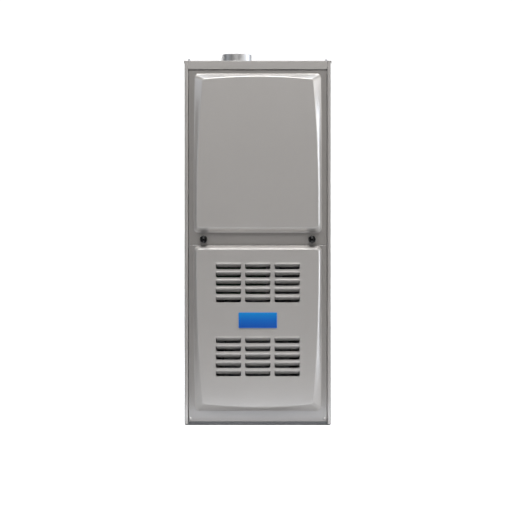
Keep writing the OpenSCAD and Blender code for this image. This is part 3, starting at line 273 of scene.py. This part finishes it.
# Each door's folded edge runs back from its flange
DOOR_RETURN = 0.018
FLANGE_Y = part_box("upper_door")[1].y - DOOR_RETURN
MATERIALS = {
    "cabinet_paint": paint("cabinet_paint", tinted(0.95), 0.36, 0.45),
    "galvanised": galvanised("galvanised", (0.66, 0.67, 0.68), 0.36),
    "tube_steel": heated_tube(),
    "shaft_steel": brushed("shaft_steel", (0.60, 0.60, 0.61), 0.28, (1.0, 1.0, 0.1)),
    "dark_steel": paint("dark_steel", (0.055, 0.055, 0.057), 0.45, 0.1),
    "black_plastic": speckled("black_plastic", BLACK, 0.25, 900.0, 0.38, 0.06, Coat_Weight=0.1),
    "red_plastic": speckled("red_plastic", (0.50, 0.020, 0.015), 0.10, 500.0, 0.35, 0.03),
    "white_plastic": speckled("white_plastic", (0.70, 0.69, 0.66), 0.05, 500.0, 0.45, 0.04),
    "badge_blue": plate_face(),
    "brass": brushed("brass", (0.72, 0.50, 0.20), 0.28, (1.0, 0.1, 1.0)),
    "cast_aluminium": speckled("cast_aluminium", (0.48, 0.49, 0.50), 0.12, 700.0, 0.42, 0.15, 0.0002, 0.85),
    "capacitor_can": brushed("capacitor_can", (0.62, 0.63, 0.65), 0.30, (1.0, 0.08, 1.0)),
    "circuit_board": circuit_board(),
    "insulator": speckled("insulator", (0.75, 0.73, 0.68), 0.06, 400.0, 0.55, 0.08),
    "insulation": foil(),
    "rubber": speckled("rubber", (0.020, 0.020, 0.021), 0.20, 600.0, 0.62, 0.08),
    "red_rubber": speckled("red_rubber", (0.30, 0.030, 0.022), 0.15, 500.0, 0.50, 0.05),
}
# The door paint is darkened on the recessed flanges: painted shade.
DOOR_PAINT = paint("door_paint", PAINT, 0.36, 0.45, FLANGE_Y)
# A darker copy of the door paint for the louvre blades: painted shade inside the slots.
BLADE_SHADE_PAINT = paint("blade_painted_shade", tinted(0.82), 0.36, 0.45)
KNOB_BLACK = speckled("knob_black", (0.002, 0.002, 0.0022), 0.25, 900.0, 0.26, 0.04, Specular_IOR_Level=0.25)
# A far darker copy of the zinc for the parts seen through the louvres: painted shade inside the cabinet.
SHADED_HOUSING_ZINC = galvanised("housing_zinc_painted_shade", (0.20, 0.20, 0.205), 0.45)
# Nodes with a finish apart from that of their slot
OWN = {
    # A darker copy of the zinc for the collar: painted shade that dims what its sides reflect.
    "vent_collar": galvanised("collar_zinc_shaded", (0.39, 0.385, 0.38), 0.46),
    # A near black paint on the base pan's toe: painted shade under the lower door.
    "base_pan": paint("toe_painted_shade", (0.150, 0.150, 0.150), 0.45, 0.1),
    "door_screws": paint("screw_paint", tinted(0.85), 0.36, 0.45),
    # A darker copy of the zinc for the duct flanges: painted shade.
    "duct_flanges": galvanised("flange_zinc_shaded", (0.40, 0.40, 0.41), 0.50),
    "left_knob": KNOB_BLACK,
    "right_knob": KNOB_BLACK,
    "blower_scroll": SHADED_HOUSING_ZINC,
    "blower_side_plates": SHADED_HOUSING_ZINC,
    "blower_rails": SHADED_HOUSING_ZINC,
    "control_tray": SHADED_HOUSING_ZINC,
}

# ---- carried CAD nodes ----

DOORS = ("upper_door", "lower_door")
EDGE_BEVEL = 0.00035
BEVEL_ANGLE, FOLD_ANGLE = math.radians(32), math.radians(35)


def even_shading(obj):
    even = obj.modifiers.new("normals", "WEIGHTED_NORMAL")
    even.keep_sharp = True
    even.weight = 60


def shade_smooth(obj):
    for polygon in obj.data.polygons:
        polygon.use_smooth = True


def dress(name):
    """The node's own material, softened edges and even shading."""
    obj = nodes[name]
    obj.data.materials.clear()
    obj.data.materials.append(OWN.get(name, MATERIALS[slot_of[name]]).mat)
    shade_smooth(obj)
    weld = obj.modifiers.new("weld", "WELD")
    weld.merge_threshold = 2e-6
    soft = obj.modifiers.new("bevel", "BEVEL")
    soft.width = EDGE_BEVEL
    soft.segments = 2
    soft.limit_method = "ANGLE"
    soft.angle_limit = BEVEL_ANGLE
    even_shading(obj)


for name in nodes:
    if name not in DOORS:
        dress(name)

# ---- mesh tools ----


def mix(a, b, t):
    return a + (b - a) * t


def arc(x, v, r, start, steps):
    """A quarter turn about a centre, from the start angle."""
    turns = [math.radians(start + 90 * k / steps) for k in range(steps + 1)]
    return [(x + r * math.cos(g), v + r * math.sin(g)) for g in turns]


def new_object(name, verts, faces):
    mesh = bpy.data.meshes.new(name)
    mesh.from_pydata(verts, [], faces)
    obj = bpy.data.objects.new(name, mesh)
    bpy.context.scene.collection.objects.link(obj)
    return obj


def settle(obj):
    """Applies the object's modifiers to its mesh."""
    depsgraph = bpy.context.evaluated_depsgraph_get()
    mesh = bpy.data.meshes.new_from_object(obj.evaluated_get(depsgraph))
    obj.modifiers.clear()
    obj.data = mesh


def thicken(obj, thickness):
    solid = obj.modifiers.new("sheet", "SOLIDIFY")
    solid.thickness = thickness
    solid.offset = -1.0
    solid.use_even_offset = True
    settle(obj)


def cut(obj, cutter):
    hole = obj.modifiers.new("cut", "BOOLEAN")
    hole.operation = "DIFFERENCE"
    hole.solver = "EXACT"
    hole.object = cutter
    settle(obj)
    bpy.data.objects.remove(cutter)


def join(obj, others):
    """Adds the others' meshes to the object's."""
    whole = bmesh.new()
    for part in [obj, *others]:
        whole.from_mesh(part.data)
    whole.to_mesh(obj.data)
    whole.free()
    for part in others:
        bpy.data.objects.remove(part)


def prisms(name, shapes, y0, y1):
    """One mesh of prisms along Y from outlines of (x, z) that run anticlockwise as seen from the front."""
    verts, faces = [], []
    for shape in shapes:
        start, count = len(verts), len(shape)
        verts += [(x, y0, z) for x, z in shape] + [(x, y1, z) for x, z in shape]
        faces.append(tuple(start + j for j in range(count)))
        faces.append(tuple(start + count + j for j in reversed(range(count))))
        for j in range(count):
            k = (j + 1) % count
            faces.append((start + j, start + count + j, start + count + k, start + k))
    return new_object(name, verts, faces)


# ---- doors: pressed sheets, drawn in x and v, the distance from the seam between them ----

SHEET = 0.001
# The corners of the folded edge and the fold itself
EDGE_R = FOLD_R = 0.0011
# The flange beside the slope, and the corners at the slope's foot and round the face
FLANGE = 0.0117
FOOT_R, FACE_R = 0.0105, 0.008
# How far the side slopes run in at the seam, how much more at the far end, and the rise of the far edge
SLOPE_SIDE, SLOPE_FLARE, ARCH = 0.0100, 0.0138, 0.006
# The cove's share of the slope, and the radius at its top
COVE, BROW_R = 0.24, 0.0088
FOLD_STEPS, SLOPE_STEPS = 4, 24
NEAR_STEPS, SIDE_STEPS, FAR_STEPS, CORNER_STEPS = 20, 36, 24, 12

UPPER_LOW, UPPER_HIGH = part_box("upper_door")
LOWER_LOW, LOWER_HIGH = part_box("lower_door")
SEAM_Z = (UPPER_LOW.z + LOWER_HIGH.z) / 2
SEAM_EDGE = UPPER_LOW.z - SEAM_Z
DOOR_HW = UPPER_HIGH.x
FACE_Y = UPPER_LOW.y
PRESS_H = FLANGE_Y - FACE_Y


def outline(w0, w1, a, b, r, arch):
    """A closed ring: w0 and w1 are its half widths at the near end a and at the far end b."""
    near = [((w0 - r) * k / NEAR_STEPS, a) for k in range(NEAR_STEPS)]
    climb = [k / SIDE_STEPS for k in range(1, SIDE_STEPS)]
    side = [(mix(w0, w1, t**2), mix(a + r, b - r, t)) for t in climb]
    inwards = [1 - k / FAR_STEPS for k in range(1, FAR_STEPS + 1)]
    far = [((w1 - r) * s, b + arch * (1 - s * s)) for s in inwards]
    near_corner = arc(w0 - r, a + r, r, -90, CORNER_STEPS)
    far_corner = arc(w1 - r, b - r, r, 0, CORNER_STEPS)
    half = near + near_corner + side + far_corner + far
    return half + [(-x, v) for x, v in reversed(half[1:-1])]


def press(u, width):
    """The slope's section: a cove at its foot, a straight middle and a rounded brow."""
    brow = BROW_R * PRESS_H / math.hypot(PRESS_H, width) / width
    steep = 1 / (1 - (COVE + brow) / 2)
    if u < COVE:
        return steep * u * u / (2 * COVE)
    if u < 1 - brow:
        return steep * (u - COVE / 2)
    return 1 - steep * (1 - u) ** 2 / (2 * brow)


def door_rings(reach, near_strip, far_strip, near_slope, far_slope):
    """Rings of (x, v, y) from the folded edge over the flange and up the slope to the raised face."""

    def flat_ring(inset, y):
        hw, r = DOOR_HW - inset, EDGE_R + inset
        return [(x, v, y) for x, v in outline(hw, hw, SEAM_EDGE + inset, reach - inset, r, 0)]

    def slope_outline(u):
        hw = DOOR_HW - FLANGE
        return outline(
            hw - u * SLOPE_SIDE,
            hw - u * (SLOPE_SIDE + SLOPE_FLARE),
            near_strip + u * near_slope,
            reach - far_strip - u * (far_slope + ARCH),
            mix(FOOT_R, FACE_R, u),
            u * ARCH,
        )

    rings = [flat_ring(0.0, FLANGE_Y + DOOR_RETURN)]
    for k in range(FOLD_STEPS + 1):
        g = math.pi / 2 * k / FOLD_STEPS
        rings.append(flat_ring(FOLD_R * (1 - math.cos(g)), FLANGE_Y + FOLD_R * (1 - math.sin(g))))
    widths = [math.dist(a, b) for a, b in zip(slope_outline(0.0), slope_outline(1.0))]
    for k in range(SLOPE_STEPS + 1):
        u = 0.5 - 0.5 * math.cos(math.pi * k / SLOPE_STEPS)
        points = zip(slope_outline(u), widths)
        rings.append([(x, v, FLANGE_Y - PRESS_H * press(u, w)) for (x, v), w in points])
    return rings


def skin(name, rings, up):
    """A sheet through rings of equal length, closed by a flat face; up is +1 where v grows upwards."""
    count = len(rings[0])
    verts = [(x, y, SEAM_Z + up * v) for ring in rings for x, v, y in ring]
    faces = []
    for i in range(len(rings) - 1):
        for j in range(count):
            k = (j + 1) % count
            faces.append((i * count + j, i * count + k, (i + 1) * count + k, (i + 1) * count + j))
    faces.append(tuple((len(rings) - 1) * count + j for j in range(count)))
    if up < 0:
        faces = [tuple(reversed(face)) for face in faces]
    obj = new_object(name, verts, faces)
    thicken(obj, SHEET)
    return obj


def finish_door(obj, node):
    obj.data.materials.clear()
    obj.data.materials.append(DOOR_PAINT.mat)
    obj.data.materials.append(BLADE_SHADE_PAINT.mat)
    shade_smooth(obj)
    obj.data.set_sharp_from_angle(angle=FOLD_ANGLE)
    even_shading(obj)
    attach(obj, node + "_body")
    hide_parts(node)


# ---- louvres: pressed out of the face, with a ridge above each slot and a blade that leans inwards ----

LOUVRE_W, LOUVRE_H, LOUVRE_R = 0.061, 0.0122, 0.004
LOUVRE_PITCH_X, LOUVRE_PITCH_Z = 0.071, 0.020
# The middle row's height in each group
LOUVRE_GROUPS = (0.3447, 0.1659)
LOUVRE_COLUMNS, LOUVRE_ROWS = (-1, 0, 1), (-2, -1, 0, 1, 2)
LOUVRE_ANGLE, BEND_ANGLE, BEND_STEP = math.radians(50), math.radians(9), 0.00045
# The blade stops short of the slot's ends, and the ridge runs past them
BLADE_SHEET, BLADE_SHORT = 0.0008, 0.0012
BLADE_REACH, BLADE_STEPS, BLADE_COLUMNS = 0.6 * LOUVRE_H, 8, 28
# The blade takes a darker copy of the door paint, painted shade, from this depth inwards
BLADE_DEPTH = 0.0012
# The ridge fades over this share of its half width, down to just inside the sheet
RIDGE_W, RIDGE_H, RIDGE_FADE, RIDGE_SINK = 0.0038, 0.0005, 0.10, 0.0002
RIDGE_SWELL, RIDGE_STEPS, BEND_FROM = 1.15, 10, 6
SLOT_CORNER_STEPS = 6


def louvre_places():
    return [
        (col * LOUVRE_PITCH_X, middle + row * LOUVRE_PITCH_Z + LOUVRE_H / 2)
        for middle in LOUVRE_GROUPS
        for col in LOUVRE_COLUMNS
        for row in LOUVRE_ROWS
    ]


def slot_outline(x, z):
    hw, bottom, r = LOUVRE_W / 2, z - LOUVRE_H, LOUVRE_R
    left = arc(x - hw + r, bottom + r, r, 180, SLOT_CORNER_STEPS)
    right = arc(x + hw - r, bottom + r, r, 270, SLOT_CORNER_STEPS)
    return [(x - hw, z), *left, *right, (x + hw, z)]


def louvre_section():
    """(y, z) down a louvre: a low ridge on the face, a bend, and the blade."""
    section = []
    for t in (k / RIDGE_STEPS for k in range(BEND_FROM + 1)):
        swell = math.sin(math.pi * RIDGE_SWELL * t) ** 2 if t < 0.5 else 1.0
        section.append((-RIDGE_H * swell, RIDGE_W * (1 - t)))
    y, z = section[-1]
    turn = 0.0
    while turn < LOUVRE_ANGLE:
        turn = min(LOUVRE_ANGLE, turn + BEND_ANGLE)
        y += BEND_STEP * math.sin(turn)
        z -= BEND_STEP * math.cos(turn)
        section.append((y, z))
    length = (z + BLADE_REACH) / math.cos(LOUVRE_ANGLE)
    for k in range(1, BLADE_STEPS + 1):
        t = length * k / BLADE_STEPS
        section.append((y + t * math.sin(LOUVRE_ANGLE), z - t * math.cos(LOUVRE_ANGLE)))
    return section


def louvre(x, z):
    """One louvre: the ridge fades out at its ends, and the blade's lower corners are rounded."""
    section = louvre_section()
    lip_y, lip_z = section[-1]
    wide = BLADE_COLUMNS + 1
    verts = []
    for y, dz in section:
        hw = LOUVRE_W / 2 + BLADE_SHORT
        if dz <= 0:
            left = min(LOUVRE_R, math.hypot(lip_y - y, lip_z - dz))
            rounding = LOUVRE_R - math.sqrt(LOUVRE_R**2 - (LOUVRE_R - left) ** 2)
            hw = LOUVRE_W / 2 - BLADE_SHORT - rounding
        for k in range(wide):
            s = -math.cos(math.pi * k / BLADE_COLUMNS)
            fade = min(1.0, (1 - abs(s)) / RIDGE_FADE)
            fade = fade * fade * (3 - 2 * fade)
            proud = y if y > 0 else y * fade + RIDGE_SINK * (1 - fade)
            verts.append((x + s * hw, FACE_Y + proud, z + dz))
    faces = [
        (i * wide + k, (i + 1) * wide + k, (i + 1) * wide + k + 1, i * wide + k + 1)
        for i in range(len(section) - 1)
        for k in range(BLADE_COLUMNS)
    ]
    obj = new_object("louvre", verts, faces)
    thicken(obj, BLADE_SHEET)
    for polygon in obj.data.polygons:
        polygon.material_index = int(polygon.center.y > FACE_Y + BLADE_DEPTH)
    return obj


# ---- the two doors ----

# The tab that holds the door switch in, at the back of the lower door
STRIKER_X, STRIKER_DROP = (0.098, 0.122), 0.0335


def upper_door():
    seam_strip, top_strip, near_slope, far_slope = 0.0291, 0.0093, 0.0155, 0.0089
    rings = door_rings(UPPER_HIGH.z - SEAM_Z, seam_strip, top_strip, near_slope, far_slope)
    finish_door(skin("upper_door_skin", rings, 1), "upper_door")


def lower_door():
    seam_strip, foot_strip, near_slope, far_slope = 0.0028, 0.026, 0.0078, 0.0124
    rings = door_rings(SEAM_Z - LOWER_LOW.z, seam_strip, foot_strip, near_slope, far_slope)
    obj = skin("lower_door_skin", rings, -1)
    slots = [slot_outline(x, z) for x, z in louvre_places()]
    cut(obj, prisms("slots", slots, FACE_Y - SHEET, FACE_Y + 2 * SHEET))
    (x0, x1), top, back = STRIKER_X, LOWER_HIGH.z, LOWER_HIGH.y
    tab = [(x0, top - STRIKER_DROP), (x1, top - STRIKER_DROP), (x1, top), (x0, top)]
    striker = prisms("striker", [tab], back - SHEET, back)
    join(obj, [*(louvre(x, z) for x, z in louvre_places()), striker])
    finish_door(obj, "lower_door")


upper_door()
lower_door()

# ---- stage ----

CASING_FRONT, CASING_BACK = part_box("left_side")[0].y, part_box("right_side")[1].y
CASING_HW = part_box("right_side")[1].x
FLOOR_HALF, FLOOR_GLOW = 12.0, 0.95
TENT_BACK = 0.5
FOCAL_PX, FRAME_PX, SENSOR = 1711.8, 512.0, 36.0
CAMERA_AWAY, CAMERA_Z = 4.15, 0.442
SHIFT_X, SHIFT_Y = -0.0035, -0.0253
LAMP_AWAY, LAMP_AIM = 3.0, Vector((0.0, -0.33, 0.45))
LOW_AWAY, LOW_Z = 0.15, 0.012
WHITE, COOL = (1.0, 1.0, 1.0), (0.90, 0.98, 1.10)
# Azimuth and height in degrees, width and height in metres, power in watts, colour
SOFTBOXES = {
    "overhead": (0, 82, (2.4, 0.6), 27.0, COOL),
    "top": (0, 58, (2.4, 0.6), 111.0, WHITE),
    "top_front": (0, 46, (2.4, 0.6), 32.0, WHITE),
    "right_front": (62, 15, (1.2, 1.8), 24.0, WHITE),
    "right_back": (98, 8, (1.4, 1.8), 68.0, COOL),
    "left": (-68, 12, (0.6, 1.8), 9.0, COOL),
    "left_back": (-138, 10, (1.0, 1.8), 34.0, WHITE),
}


def floor():
    """A pale floor that looks white to the camera, apart from what the casing stands over."""
    h = FLOOR_HALF
    obj = new_object("floor", [(-h, -h, 0), (h, -h, 0), (h, h, 0), (-h, h, 0)], [(0, 1, 2, 3)])
    s = speckled("floor", (0.55, 0.55, 0.55), 0.01, 3.0, 0.6)
    outside = s.border(
        ("X", -CASING_HW, CASING_HW, 0.99, 1.0),
        ("Y", CASING_FRONT, CASING_BACK, 0.99, 1.0),
    )
    glow = s.calc("MULTIPLY", s.camera_ray(), s.span(outside, 0.0, FLOOR_GLOW))
    white = s.add("ShaderNodeEmission", {"Strength": glow})
    both = s.add("ShaderNodeAddShader", {0: s.surface.outputs[0], 1: white.outputs[0]})
    s.feed(s.tree.nodes["Material Output"].inputs["Surface"], both.outputs[0])
    obj.data.materials.append(s.mat)


def world():
    """White where the camera looks; for the object dark in front and light behind."""
    studio = bpy.data.worlds.new("studio")
    bpy.context.scene.world = studio
    w = Tree(studio, "Generated")
    seen = w.tree.nodes["Background"]
    w.feed(seen.inputs["Color"], WHITE)
    w.feed(seen.inputs["Strength"], 1.1)
    behind = w.span(w.axes()["Y"], 0.0, TENT_BACK, 0.0, 0.35, interpolation_type="SMOOTHSTEP")
    lit = w.add("ShaderNodeBackground", {"Color": (0.92, 0.97, 1.06), "Strength": behind})
    blend = w.add("ShaderNodeMixShader", {0: w.camera_ray(), 1: lit.outputs[0], 2: seen.outputs[0]})
    w.feed(w.tree.nodes["World Output"].inputs["Surface"], blend.outputs[0])


def camera():
    data = bpy.data.cameras.new("camera")
    data.sensor_width = SENSOR
    data.lens = SENSOR * FOCAL_PX / FRAME_PX
    data.shift_x, data.shift_y = SHIFT_X, SHIFT_Y
    obj = bpy.data.objects.new("camera", data)
    bpy.context.scene.collection.objects.link(obj)
    obj.location = (0.0, CASING_FRONT - CAMERA_AWAY, CAMERA_Z)
    obj.rotation_euler = (math.radians(90), 0.0, 0.0)
    bpy.context.scene.camera = obj


def area(name, place, target, size, power, colour):
    lamp = bpy.data.lights.new(name, "AREA")
    lamp.shape = "RECTANGLE"
    lamp.size, lamp.size_y = size
    lamp.energy = power
    lamp.color = colour
    obj = bpy.data.objects.new(name, lamp)
    bpy.context.scene.collection.objects.link(obj)
    obj.location = place
    obj.rotation_euler = (Vector(target) - Vector(place)).to_track_quat("-Z", "Y").to_euler()
    obj.visible_camera = False


def softbox(name, azimuth, height, size, power, colour):
    """An area light aimed at the front; azimuth turns from the front towards +X, both angles in degrees."""
    turn, rise = math.radians(azimuth), math.radians(height)
    away = Vector((math.sin(turn) * math.cos(rise), -math.cos(turn) * math.cos(rise), math.sin(rise)))
    area(name, LAMP_AIM + LAMP_AWAY * away, LAMP_AIM, size, power, colour)


floor()
world()
camera()
for name, settings in SOFTBOXES.items():
    softbox(name, *settings)
area("low", (0.0, CASING_FRONT - LOW_AWAY, LOW_Z), (0.0, CASING_FRONT, LOW_Z), (0.5, 0.02), 0.115, COOL)
bpy.context.scene.view_settings.view_transform = "Standard"
